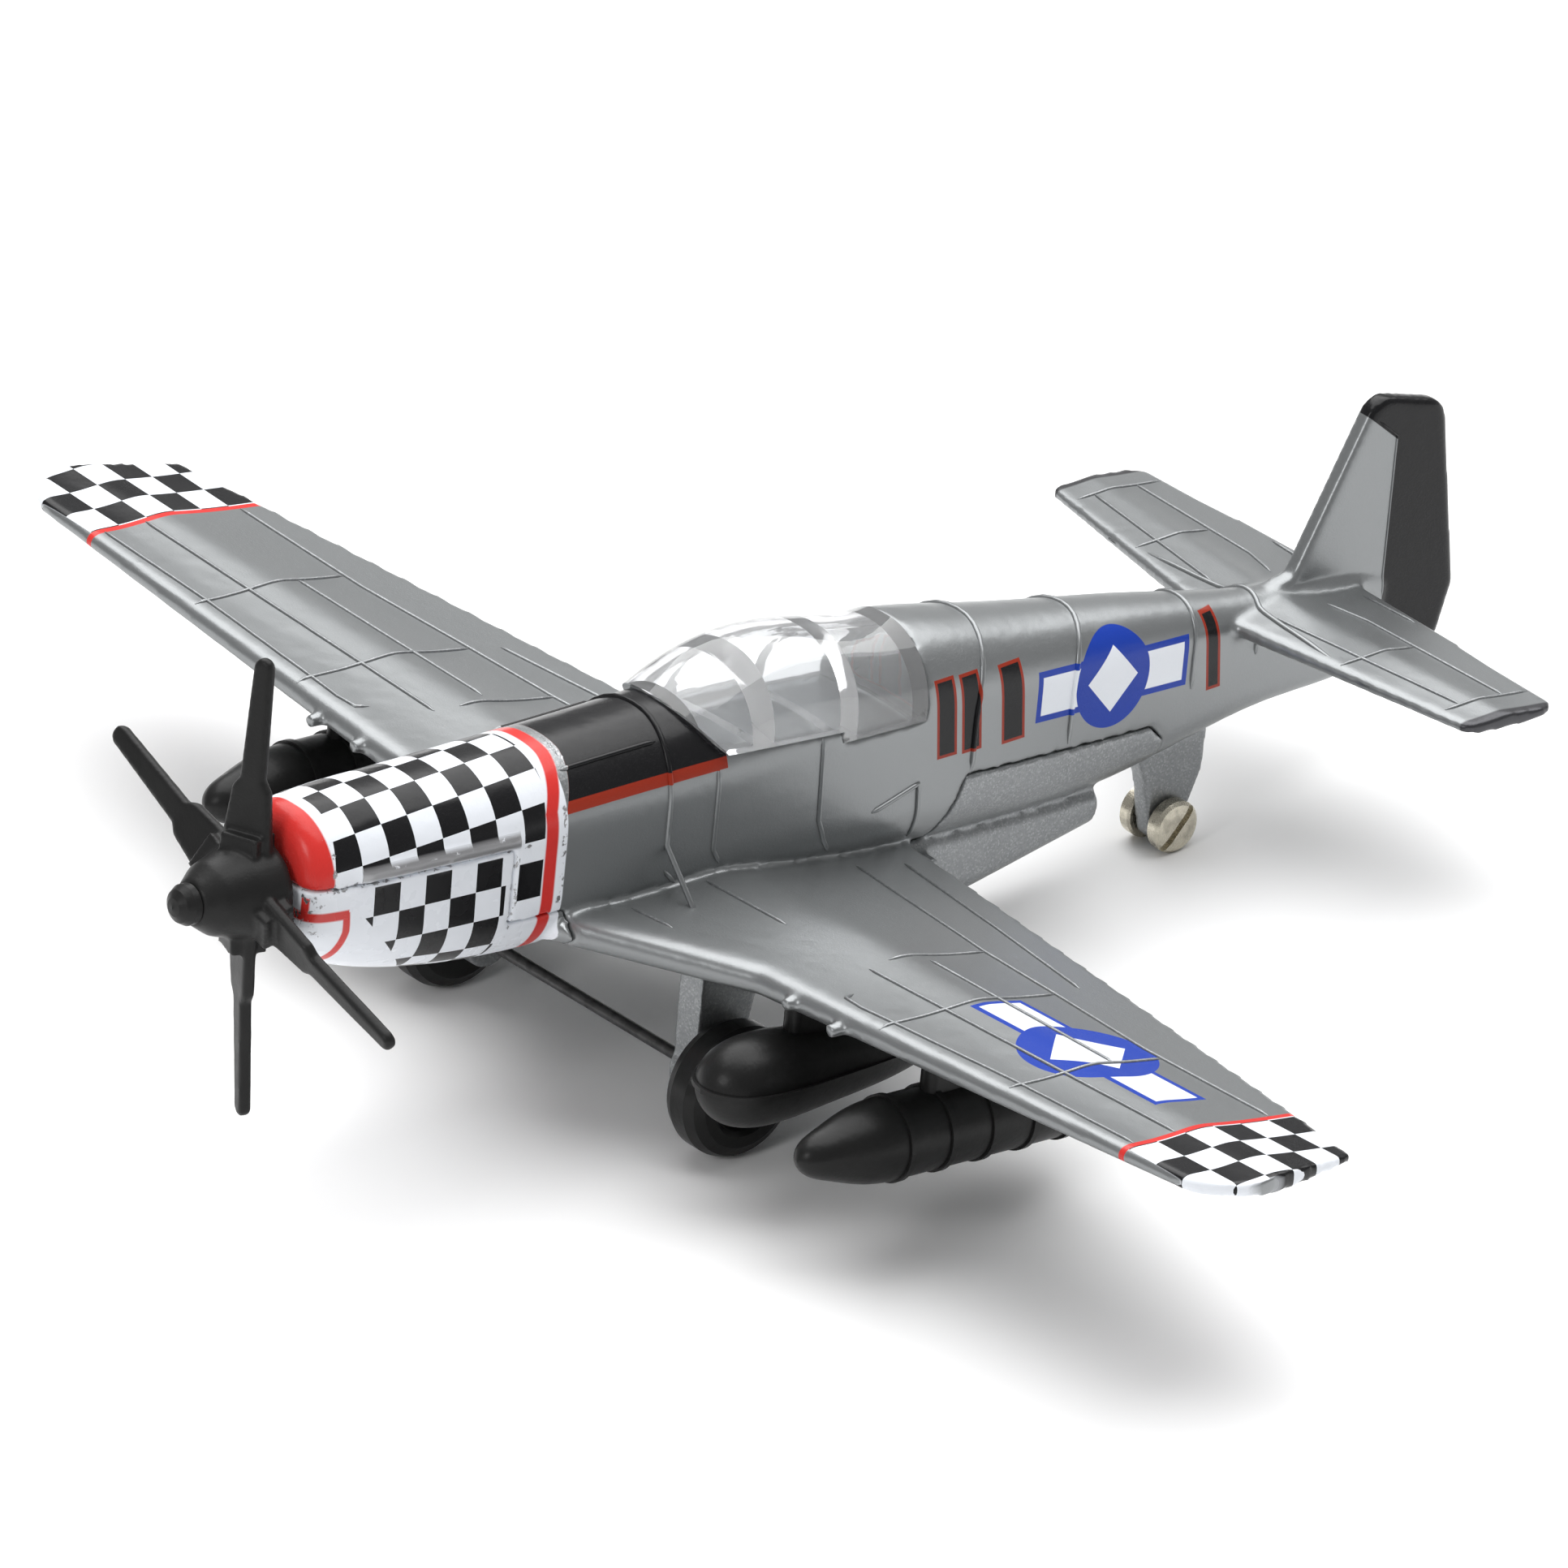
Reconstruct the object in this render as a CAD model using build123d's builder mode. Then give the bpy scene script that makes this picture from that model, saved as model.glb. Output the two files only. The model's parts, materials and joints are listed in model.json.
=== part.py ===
from build123d import *
import math
import os

# Die-cast toy fighter aeroplane.  Millimetres.
# Every piece is modelled in the aeroplane's level frame: x to the aeroplane's left,
# y aft, z up, origin just above the thrust line inside the propeller's nose.  At the end
# the whole aeroplane is tipped nose-up until its main and tail wheels share one floor.

# ---- Driving dimensions ------------------------------------------------------------
half_span = 57.0
tip_rake = 2.3          # how much shorter the trailing edge is than the half span
wall = 1.2              # thickness of the cast shell
seam_gap = 0.05         # gap between the two castings
running = 0.06          # radial clearance of a turning fit

# Fuselage stations: distance aft, top height, bottom height, half width
cowl_front = 6.1
cowl_rounding = 1.3
fuselage_stations = [
    (cowl_front, 4.15, -3.7, 3.8),
    (10.0, 4.8, -5.8, 4.4),
    (15.0, 4.9, -7.0, 4.6),
    (21.0, 5.05, -7.6, 4.75),
    (26.0, 5.2, -7.6, 4.8),
    (34.0, 5.6, -7.2, 4.8),
    (43.0, 6.5, -7.2, 4.8),
    (52.5, 7.1, -7.3, 4.6),
    (58.0, 6.2, -7.3, 4.2),
    (65.0, 5.1, -7.2, 3.5),
    (74.0, 3.7, -5.9, 2.5),
    (81.0, 2.7, -4.7, 1.7),
    (90.2, 1.9, -3.3, 0.8),
]
corner_share = 0.92     # fuselage corner radius as a share of its half width
cavity_front = 22.5
cavity_rear = 70.0

# Canopy: the same stations, standing higher than the deck
canopy_stations = [
    (33.5, 5.3, -7.2, 4.75),
    (36.0, 6.8, -7.2, 4.8),
    (39.5, 8.0, -7.2, 4.8),
    (46.0, 7.85, -7.2, 4.75),
    (52.0, 7.3, -7.3, 4.62),
]
canopy_wall = 0.9
canopy_front = (34.2, 5.7)
sill_front = (36.4, 3.3)
sill_step = 45.2
sill_rear = (51.6, 2.9)
sill_drop = 0.7
arches = [(38.6, 40.2), (45.2, 46.6)]
cockpit_floor = (35.0, 53.0, 0.9, 2.1)     # front, rear, underside, top
cockpit_half_width = 4.2

# Wing, at its centre, at the kink in its leading edge and at its tip
# distance out, then leading and trailing edge as (distance aft, height)
wing_stations = [
    (0, (22.7, -5.85), (52.9, -6.8)),
    (17.0, (29.3, -4.9), (49.8, -5.7)),
    (half_span, (31.4, -2.7), (42.5, -3.1)),
]
wing_thickness = (3.0, 2.5, 1.1)
trailing_edge = 0.5
gun_stations = (20.2, 24.3)
gun_z = -4.7
gun_radius = 0.42
gun_root = 31.5
gun_length = 2.6

# Tail surfaces
tail_half_span = 19.4
tail_root_edges = (76.9, 88.2)
tail_tip_edges = (81.0, 87.9)
tail_z = 1.5
tail_drop = -0.02
tail_thickness = (1.6, 0.9)
fin_thickness = 1.3
fin_outline = [
    (79.0, 2.0), (83.2, 3.2), (88.4, 13.7), (93.8, 12.4), (95.9, 0.2), (95.0, -3.1), (87.5, -3.9),
]

# Seams between the castings, in side view
nose_seam = 0.6
nose_seam_end = 20.7
chin_shelf = -4.2
chin_end = 25.0
under_hull = -8.6       # lower than the fuselage, so the seam leaves its skin whole
belly_z = -7.4
belly_half_width = 4.3
belly_front = 30.0
belly_thickness = 0.7
rear_seam = [(54.0, -5.6), (55.4, -2.3), (71.0, -3.2), (72.2, -4.3)]

# Ledge under the exhausts
ledge_outline = [(9.6, 0.95), (20.9, 0.85), (20.9, 1.42), (9.6, 1.5)]
ledge_height = 0.25

# Belly scoop: distance aft, bottom height, half width
scoop_stations = [(41.5, -9.8, 2.6), (50.0, -11.0, 3.0), (58.0, -11.1, 3.0), (67.7, -9.1, 2.5)]

scoop_top = -6.4
scoop_corner = 1.3
scoop_lip = 0.6
chin_intake_z = -3.2
chin_intake = (3.6, 1.1, 0.5, 1.5)     # width, height, corner radius, depth

# Undercarriage
main_axle_y = 31.6
main_axle_z = -13.5
main_wheel_radius = 4.1
main_wheel_width = 3.2
leg_inner = 9.3
leg_outer = 11.4
leg_clearance = 0.2
leg_foot_radius = 1.6
leg_outline = [(30.2, -4.5), (34.8, -4.5), (34.4, -9.0), (33.5, -13.6), (30.3, -13.6), (30.2, -9.0)]
axle_radius = 0.38
tail_axle_y = 74.8
tail_axle_z = -10.95
tail_wheel_radius = 1.65
tail_wheel_width = 1.1
tail_pin_radius = 0.4
slot_angle = 50
slot_width = 0.45
slot_depth = 0.4
strut_thickness = 1.4
strut_end_radius = 1.3
strut_outline = [(71.4, -4.6), (77.4, -4.6), (77.3, -8.0), (76.05, -11.2), (73.55, -11.2), (72.9, -8.0)]

# Propeller
blade_plane = 4.2
blade_cone = 4.0        # degrees that the blades lean aft towards their tips
thrust_line = -0.25
blade_radius = 14.3
blade_thickness = 0.75
blade_tip_width = 0.62      # half widths of the blade
blade_mid_width = 0.8
cuff_width = 1.25
cuff_end = 6.9
root_width = 1.7
root_reach = 3.6
root_thickness = 2.2
blade_pitch = 20
blade_angles = (-2, 110, 178, 290)     # degrees from upright towards +x: two unequal pairs
spinner_front = 0.35
spinner_back = 5.7
spinner_radius = 3.05
pin_tip = -1.0
pin_radius = 0.55
pin_head_end = 0.3
pin_head_radius = 1.25
pin_depth = 6.9         # how far the pin goes into the nose

# Stores under the wing
drop_tank_x = 18.7
drop_tank_z = -10.0
drop_tank_radius = 2.55
drop_tank_nose = 24.6
drop_tank_length = 19.8
flange_width = 0.2
flange_thickness = 0.3
ribbed_tank_x = 27.7
ribbed_tank_z = -10.6
ribbed_tank_radius = 2.5
ribbed_tank_nose = 24.4
ribbed_tank_length = 22.0
rib_count = 5
rib_pitch = 3.1
rib_height = 0.15
rib_width = 0.4

# Screws
screw_places = (16.0, 62.0)
screw_radius = 0.7
screw_head_radius = 1.35
screw_head_height = 0.7
screw_top = 3.2
post_radius = 1.7
post_top = 4.6
screw_seats = (-4.6, -7.0)      # height of each screw head's seat


# ---- Helpers -----------------------------------------------------------------------
def station(y):
    """Plane across the fuselage: local x is across, local y is up, normal points forward."""
    return Plane(origin=(0, y, 0), x_dir=(1, 0, 0), z_dir=(0, -1, 0))


def side_view(x=0):
    """Plane along the fuselage: local x is aft, local y is up, normal points left."""
    return Plane(origin=(x, 0, 0), x_dir=(0, 1, 0), z_dir=(1, 0, 0))


def body_section(y, top, bottom, half_width):
    """Rounded cross-section of the fuselage, drawn at its station."""
    with BuildSketch(station(y)) as section:
        with Locations((0, (top + bottom) / 2)):
            RectangleRounded(2 * half_width, top - bottom, corner_share * half_width)
    return section.sketch


def lofted_body(stations, inset=0):
    """Fuselage-like body through the stations, drawn in by the inset."""
    sections = [body_section(y, top - inset, bottom + inset, half_width - inset)
                for y, top, bottom, half_width in stations]
    with BuildPart() as body:
        loft(sections)
    return body.part


def aerofoil(plane, chord, thickness):
    """Wing section on its plane, from the leading edge at the plane's origin."""
    with BuildSketch(plane) as section:
        with BuildLine():
            Spline(
                (0, 0), (0.10 * chord, 0.42 * thickness), (0.38 * chord, 0.58 * thickness),
                (chord, trailing_edge / 2), tangents=[(0, 1), (1, -0.05)],
            )
            Line((chord, trailing_edge / 2), (chord, -trailing_edge / 2))
            Spline(
                (chord, -trailing_edge / 2), (0.38 * chord, -0.42 * thickness),
                (0.10 * chord, -0.32 * thickness), (0, 0), tangents=[(-1, -0.03), (0, 1)],
            )
        make_face()
    return section.sketch


def side_prism(points, half_width, gap=0):
    """Block with the given side-view outline, as wide as the fuselage."""
    with BuildPart() as block:
        with BuildSketch(side_view()):
            with BuildLine():
                Polyline(*points, close=True)
            make_face()
            if gap:
                offset(amount=gap, kind=Kind.INTERSECTION)
        extrude(amount=half_width, both=True)
    return block.part


def scoop_body(stations, inset=0):
    """Radiator scoop hanging from the belly, drawn in by the inset."""
    sections = []
    for y, bottom, half_width in stations:
        height = scoop_top - bottom - 2 * inset
        with BuildSketch(station(y)) as section:
            with Locations((0, (scoop_top + bottom) / 2)):
                RectangleRounded(2 * (half_width - inset), height, scoop_corner - inset)
        sections.append(section.sketch)
    with BuildPart() as scoop:
        loft(sections, ruled=True)
    return scoop.part


def lowest_solid(shape):
    """What is left below the wing after the wing is cut out of a shape."""
    return shape.solids().sort_by(Axis.Z)[0]


def inside(y_low, y_high, shape):
    """The part of a shape between two stations."""
    with BuildPart() as slab:
        add(shape)
        with BuildSketch(station((y_low + y_high) / 2)):
            Rectangle(60, 60)
        extrude(amount=(y_high - y_low) / 2, both=True, mode=Mode.INTERSECT)
    return slab.part


# ---- Shared shapes -----------------------------------------------------------------
with BuildPart() as rounded_hull:
    add(lofted_body(fuselage_stations))
    fillet(rounded_hull.faces().sort_by(Axis.Y)[0].edges(), cowl_rounding)
hull = rounded_hull.part
cavity = inside(cavity_front, cavity_rear, lofted_body(fuselage_stations[1:-1], wall))
canopy_hull = lofted_body(canopy_stations)
canopy_inner = lofted_body(canopy_stations, canopy_wall)

canopy_zone_outline = [
    canopy_front, sill_front, (sill_step, sill_rear[1]), (sill_step, sill_rear[1] - sill_drop),
    (sill_rear[0], sill_rear[1] - sill_drop), (sill_rear[0], 12.0), (canopy_front[0], 12.0),
]
canopy_zone = side_prism(canopy_zone_outline, 8)

seam_outline = [
    (0, nose_seam), (nose_seam_end, nose_seam), (nose_seam_end, chin_shelf),
    (chin_end, chin_shelf), (chin_end, under_hull), (belly_front, under_hull), (belly_front, belly_z),
    (rear_seam[0][0], belly_z), *rear_seam, (rear_seam[-1][0], -20), (0, -20),
]
lower_zone = side_prism(seam_outline, 8)
upper_cutter = side_prism(seam_outline, 8, seam_gap)


def half_wing():
    """Left wing half, kinked near its root, with rounded tip corners."""
    sections = []
    for (x, leading, trailing), thickness in zip(wing_stations, wing_thickness):
        chord = math.dist(leading, trailing)
        along = (0, trailing[0] - leading[0], trailing[1] - leading[1])
        plane = Plane(origin=(x, *leading), x_dir=along, z_dir=(1, 0, 0))
        sections.append(aerofoil(plane, chord, thickness))
    with BuildPart() as wing:
        loft(sections, ruled=True)
        with BuildSketch(Plane.XY.offset(-20)):
            with BuildLine():
                Polyline(
                    (-1, wing_stations[0][1][0] - 2), (wing_stations[1][0], wing_stations[1][1][0] - 0.1),
                    (half_span, wing_stations[2][1][0] - 0.05),
                    (half_span - tip_rake, wing_stations[2][2][0] + 0.35),
                    (-1, wing_stations[0][2][0] + 1), close=True,
                )
            tip = make_face().vertices().sort_by(Axis.X)[-2:].sort_by(Axis.Y)
            fillet(tip[0], 4.2)
            fillet(tip[1], 2.0)
        extrude(amount=40, mode=Mode.INTERSECT)
    return wing.part


def half_tailplane():
    """Left half of the tailplane."""
    edges = (tail_root_edges, tail_tip_edges)
    sections = []
    for x, (leading, trailing), thickness in zip((0, tail_half_span), edges, tail_thickness):
        plane = Plane(origin=(x, leading, tail_z + tail_drop * x), x_dir=(0, 1, 0), z_dir=(1, 0, 0))
        sections.append(aerofoil(plane, trailing - leading, thickness))
    with BuildPart() as tailplane:
        loft(sections, ruled=True)
        with BuildSketch(Plane.XY.offset(-20)):
            with BuildLine():
                Polyline(
                    (-1, tail_root_edges[0] - 0.4), (tail_half_span, tail_tip_edges[0] - 0.05),
                    (tail_half_span, tail_tip_edges[1] + 0.05), (-1, tail_root_edges[1] + 0.05), close=True,
                )
            tip = make_face().vertices().group_by(Axis.X)[-1]
            fillet(tip, 1.2)
        extrude(amount=40, mode=Mode.INTERSECT)
    return tailplane.part


def fin():
    """Fin and rudder in one blade, with rounded top corners."""
    with BuildPart() as blade:
        with BuildSketch(side_view()):
            with BuildLine():
                Polyline(*fin_outline, close=True)
            corners = make_face().vertices()
            fillet(corners.sort_by(Axis.Y)[-2:], 1.6)
            fillet(corners.sort_by(Axis.X)[-1], 3.0)
        extrude(amount=fin_thickness / 2, both=True)
        chamfer(blade.faces().sort_by(Axis.X)[-1].edges(), 0.2)
        chamfer(blade.faces().sort_by(Axis.X)[0].edges(), 0.2)
    return blade.part


wing = half_wing()
tailplane = half_tailplane()


# ---- Castings ----------------------------------------------------------------------
def exhaust_ledge():
    """Raised ledge along both sides of the cowl, just above its seam."""
    with BuildPart() as ledge:
        add(lofted_body(fuselage_stations[:6], -ledge_height))
        add(side_prism(ledge_outline, 8), mode=Mode.INTERSECT)
        add(lofted_body(fuselage_stations[:6], wall), mode=Mode.SUBTRACT)
    return ledge.part


with BuildPart() as upper_casting:
    add(hull)
    add(wing)
    add(mirror(wing, about=Plane.YZ))
    add(tailplane)
    add(mirror(tailplane, about=Plane.YZ))
    add(fin())
    add(exhaust_ledge())
    for side in (-1, 1):
        for gun in gun_stations:
            muzzle = Plane(
                origin=(side * gun, gun_root, gun_z), x_dir=(1, 0, 0), z_dir=(0, -1, 0)
            )
            with BuildSketch(muzzle):
                Circle(gun_radius)
            extrude(amount=gun_length)
    add(canopy_zone, mode=Mode.SUBTRACT)
    add(cavity, mode=Mode.SUBTRACT)
    # floor of the cockpit, closing the cavity below the canopy
    front, rear, low, high = cockpit_floor
    add(side_prism([(front, high), (rear, high), (rear, low), (front, low)], cockpit_half_width))
    # posts that take the two screws
    for y in screw_places:
        with BuildSketch(Plane.XY.offset(-6.0)):
            with Locations((0, y)):
                Circle(post_radius)
        extrude(amount=post_top + 6.0)
    add(upper_cutter, mode=Mode.SUBTRACT)
    for y in screw_places:
        with BuildSketch(Plane.XY.offset(-6.0)):
            with Locations((0, y)):
                Circle(screw_radius)
        extrude(amount=screw_top + 6.0, mode=Mode.SUBTRACT)
    # hole for the propeller pin, drilled in from the front
    with BuildSketch(station(cowl_front - 1)):
        with Locations((0, thrust_line)):
            Circle(pin_radius)
    extrude(amount=-pin_depth - 1, mode=Mode.SUBTRACT)


with BuildPart() as underside:
    add(hull)
    add(wing)
    add(mirror(wing, about=Plane.YZ))
    # plate under the wing
    with BuildSketch(Plane.XY.offset(belly_z - belly_thickness)):
        with Locations((0, (belly_front + rear_seam[0][0]) / 2)):
            Rectangle(2 * belly_half_width, rear_seam[0][0] - belly_front)
    extrude(amount=belly_thickness)
    add(cavity, mode=Mode.SUBTRACT)
    for y in screw_places:
        with BuildSketch(Plane.XY.offset(-6.5)):
            with Locations((0, y)):
                Circle(post_radius)
        extrude(amount=8.0)
    add(lower_zone, mode=Mode.INTERSECT)
    # radiator scoop with an open mouth, and the tail wheel's strut
    add(scoop_body(scoop_stations))
    add(scoop_body(scoop_stations[:2], scoop_lip), mode=Mode.SUBTRACT)
    with BuildSketch(side_view()):
        with BuildLine():
            Polyline(*strut_outline, close=True)
        make_face()
        with Locations((tail_axle_y, tail_axle_z)):
            Circle(strut_end_radius)
    extrude(amount=strut_thickness / 2, both=True)
    add(upper_casting.part, mode=Mode.SUBTRACT)
    with BuildSketch(station(cowl_front - 1)):
        with Locations((0, thrust_line)):
            Circle(pin_radius)
    extrude(amount=-pin_depth - 1, mode=Mode.SUBTRACT)
    # air intake in the chin
    with BuildSketch(station(cowl_front)):
        with Locations((0, chin_intake_z)):
            RectangleRounded(*chin_intake[:3])
    extrude(amount=-chin_intake[3], mode=Mode.SUBTRACT)
    # bearing for the tail pin
    with Locations(side_view().location):
        with Locations((tail_axle_y, tail_axle_z)):
            Hole(tail_pin_radius + running)
    # countersunk ways for the screws
    for y, seat in zip(screw_places, screw_seats):
        upward = Plane(origin=(0, y, seat - 6), z_dir=(0, 0, -1))
        with Locations(upward.location):
            CounterBoreHole(screw_radius + 0.1, screw_head_radius + 0.1, 6)


# the underside comes away in two: the chin under the engine and the belly with its strut
chin_solid, *_, belly_solid = underside.part.solids().sort_by(Axis.Y)
with BuildPart() as chin_cowl:
    add(chin_solid)
with BuildPart() as belly_casting:
    add(belly_solid)

with BuildPart() as canopy:
    add(canopy_hull)
    for front, rear in zip([35.4, arches[0][1], arches[1][1]], [arches[0][0], arches[1][0], 50.8]):
        add(inside(front, rear, canopy_inner), mode=Mode.SUBTRACT)
    add(canopy_zone, mode=Mode.INTERSECT)


# ---- Propeller ---------------------------------------------------------------------
thrust_axis = Axis((0, 0, thrust_line), (0, 1, 0))


def turned(profile, centre, direction):
    """Solid turned about a line along x or y, from (distance along, radius) points."""
    across = (0, 0, 1)
    plane = Plane(origin=centre, x_dir=direction, z_dir=Vector(direction).cross(Vector(across)))
    with BuildPart() as spun:
        with BuildSketch(plane):
            with BuildLine():
                Polyline(*profile, close=True)
            make_face()
        revolve(axis=Axis(centre, direction))
    return spun.part


def blade():
    """One blade standing up from the hub, broad at its root, pitched and leaning aft."""
    cone = math.radians(blade_cone)
    radial = Vector(0, math.sin(cone), math.cos(cone))
    chord = Vector(math.cos(math.radians(blade_pitch)), math.sin(math.radians(blade_pitch)), 0)
    facing = Plane(origin=(0, blade_plane, thrust_line), x_dir=chord, z_dir=chord.cross(radial))
    shoulder = blade_radius - blade_tip_width
    with BuildPart() as one:
        with BuildSketch(facing):
            with BuildLine():
                Polyline(
                    (-blade_tip_width, shoulder), (-blade_mid_width, cuff_end),
                    (-cuff_width, cuff_end - 0.6), (-root_width, 2.4), (-0.8, 0.9),
                    (0.8, 0.9), (root_width, 2.4), (cuff_width, cuff_end - 0.6),
                    (blade_mid_width, cuff_end), (blade_tip_width, shoulder),
                )
                ThreePointArc((blade_tip_width, shoulder), (0, blade_radius), (-blade_tip_width, shoulder))
            make_face()
        extrude(amount=blade_thickness / 2, both=True)
        flat = one.faces().sort_by(Axis(facing.origin, facing.z_dir))
        chamfer(flat[0].edges() + flat[-1].edges(), 0.15)
        with BuildSketch(facing):
            with Locations((0, root_reach / 2)):
                Rectangle(2 * cuff_width, root_reach)
        extrude(amount=root_thickness / 2, both=True)
    return one.part


with BuildPart() as propeller:
    add(turned(
        [(spinner_front, 0), (spinner_front, 1.35), (spinner_front + 1.2, 2.2), (spinner_front + 3.3, 2.85),
         (spinner_back - 0.4, spinner_radius), (spinner_back, spinner_radius - 0.1), (spinner_back, 0)],
        (0, 0, thrust_line), (0, 1, 0),
    ))
    one_blade = blade()
    for angle in blade_angles:
        add(one_blade.rotate(thrust_axis, angle))
    with BuildSketch(station(pin_tip)):
        with Locations((0, thrust_line)):
            Circle(pin_radius + running)
    extrude(amount=-10, mode=Mode.SUBTRACT)

with BuildPart() as propeller_pin:
    add(turned(
        [(pin_tip, 0), (pin_tip + 0.1, 0.55), (pin_tip + 0.4, 1.0), (pin_tip + 0.85, pin_head_radius),
         (pin_head_end, pin_head_radius), (pin_head_end, pin_radius),
         (cowl_front + pin_depth, pin_radius), (cowl_front + pin_depth, 0)],
        (0, 0, thrust_line), (0, 1, 0),
    ))


# ---- Undercarriage -----------------------------------------------------------------
def gear_leg():
    """Left main leg, hanging from the wing, with the axle's bearing near its foot."""
    with BuildPart() as leg:
        with BuildSketch(side_view(leg_inner)):
            with BuildLine():
                Polyline(*leg_outline, close=True)
            make_face()
            with Locations((main_axle_y, main_axle_z)):
                Circle(leg_foot_radius)
        extrude(amount=leg_outer - leg_inner)
        add(upper_casting.part, mode=Mode.SUBTRACT)
        with BuildSketch(side_view(leg_inner)):
            with Locations((main_axle_y, main_axle_z)):
                Circle(axle_radius + running)
        extrude(amount=leg_outer - leg_inner, mode=Mode.SUBTRACT)
    return lowest_solid(leg.part)


def main_wheel():
    """Left main wheel: rounded tyre moulded in one with a dished hub."""
    inner = leg_outer + leg_clearance
    outer = inner + main_wheel_width
    tyre = main_wheel_radius
    return turned(
        [(inner, axle_radius), (inner, tyre - 0.9), (inner + 0.35, tyre - 0.3), (inner + 1.0, tyre),
         (outer - 1.0, tyre), (outer - 0.35, tyre - 0.3), (outer, tyre - 0.9), (outer, 2.5),
         (outer - 0.3, 2.25), (outer - 0.8, 2.1), (outer - 0.8, 1.1), (outer - 0.3, 0.85),
         (outer - 0.3, axle_radius)],
        (0, main_axle_y, main_axle_z), (1, 0, 0),
    )


left_leg = gear_leg()
with BuildPart() as gear_leg_left:
    add(left_leg)
with BuildPart() as gear_leg_right:
    add(mirror(left_leg, about=Plane.YZ))

left_wheel = main_wheel()
with BuildPart() as main_wheel_left:
    add(left_wheel)
with BuildPart() as main_wheel_right:
    add(mirror(left_wheel, about=Plane.YZ))

axle_end = leg_outer + leg_clearance + main_wheel_width - 0.2
with BuildPart() as main_axle:
    add(turned(
        [(-axle_end, 0), (-axle_end, axle_radius - 0.12), (0.12 - axle_end, axle_radius),
         (axle_end - 0.12, axle_radius), (axle_end, axle_radius - 0.12), (axle_end, 0)],
        (0, main_axle_y, main_axle_z), (1, 0, 0),
    ))


def tail_wheel():
    """Left tail wheel: a domed metal disc with a slot across its outer face."""
    inner = strut_thickness / 2 + 0.1
    outer = inner + tail_wheel_width
    radius = tail_wheel_radius
    with BuildPart() as disc:
        add(turned(
            [(inner, tail_pin_radius), (inner, radius - 0.15), (inner + 0.15, radius),
             (outer - 0.3, radius), (outer - 0.1, radius - 0.2), (outer, radius - 0.7), (outer, 0),
             (outer - 0.5, 0),
             (outer - 0.5, tail_pin_radius)],
            (0, tail_axle_y, tail_axle_z), (1, 0, 0),
        ))
        with BuildSketch(side_view(outer)):
            with Locations(Location((tail_axle_y, tail_axle_z), slot_angle)):
                Rectangle(2 * radius + 1, slot_width)
        extrude(amount=-slot_depth, mode=Mode.SUBTRACT)
    return disc.part


left_disc = tail_wheel()
with BuildPart() as tail_wheel_left:
    add(left_disc)
with BuildPart() as tail_wheel_right:
    add(mirror(left_disc, about=Plane.YZ))

pin_end = strut_thickness / 2 + 0.1 + tail_wheel_width - 0.5
with BuildPart() as tail_pin:
    add(turned(
        [(-pin_end, 0), (-pin_end, tail_pin_radius), (pin_end, tail_pin_radius), (pin_end, 0)],
        (0, tail_axle_y, tail_axle_z), (1, 0, 0),
    ))


# ---- Stores ------------------------------------------------------------------------
def pylon(x, y_front, y_rear, foot, thickness):
    """Pylon from a store up to the underside of the wing, shaped to the wing."""
    with BuildPart() as post:
        with BuildSketch(Plane.XY.offset(foot)):
            with Locations((x, (y_front + y_rear) / 2)):
                SlotOverall(y_rear - y_front, thickness, rotation=90)
        extrude(amount=5)
        add(upper_casting.part, mode=Mode.SUBTRACT)
    return lowest_solid(post.part)


def tank_edge(grow=0, side=1):
    """Plan-view edge of the left drop tank from nose to tail, outside it by the growth."""
    nose = (drop_tank_x, drop_tank_nose - grow)
    widest = (drop_tank_x + side * (drop_tank_radius + grow), drop_tank_nose + 0.38 * drop_tank_length)
    tail = (drop_tank_x, drop_tank_nose + drop_tank_length + grow)
    return Spline(nose, widest, tail, tangents=[(side, 0.15), (-0.45 * side, 1)])


def teardrop():
    """Body of the left drop tank, turned about its own axis."""
    with BuildPart() as body:
        with BuildSketch(Plane.XY.offset(drop_tank_z)):
            with BuildLine():
                edge = tank_edge()
                add(edge)
                Line(edge @ 1, edge @ 0)
            make_face()
        revolve(axis=Axis((drop_tank_x, 0, drop_tank_z), (0, 1, 0)))
    return body.part


def drop_tank_lower_half():
    """Lower half of the left drop tank."""
    with BuildPart() as half:
        add(teardrop())
        split(bisect_by=Plane.XY.offset(drop_tank_z), keep=Keep.BOTTOM)
    return half.part


def drop_tank_flange():
    """Thin lip round the widest line of the left drop tank, where its halves meet."""
    with BuildPart() as lip:
        with BuildSketch(Plane.XY.offset(drop_tank_z)):
            with BuildLine():
                add(tank_edge(flange_width, 1))
                add(tank_edge(flange_width, -1))
            make_face()
        extrude(amount=flange_thickness)
    return lip.part


def drop_tank_upper_half():
    """Upper half of the left drop tank, with its flange and pylon."""
    body = teardrop()
    post = pylon(drop_tank_x, 30.5, 38.5, drop_tank_z + 2.2, 1.3)
    lip = drop_tank_flange()
    with BuildPart() as half:
        add(body)
        split(bisect_by=Plane.XY.offset(drop_tank_z), keep=Keep.TOP)
        add(post)
        add(lip)
    return half.part


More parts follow.
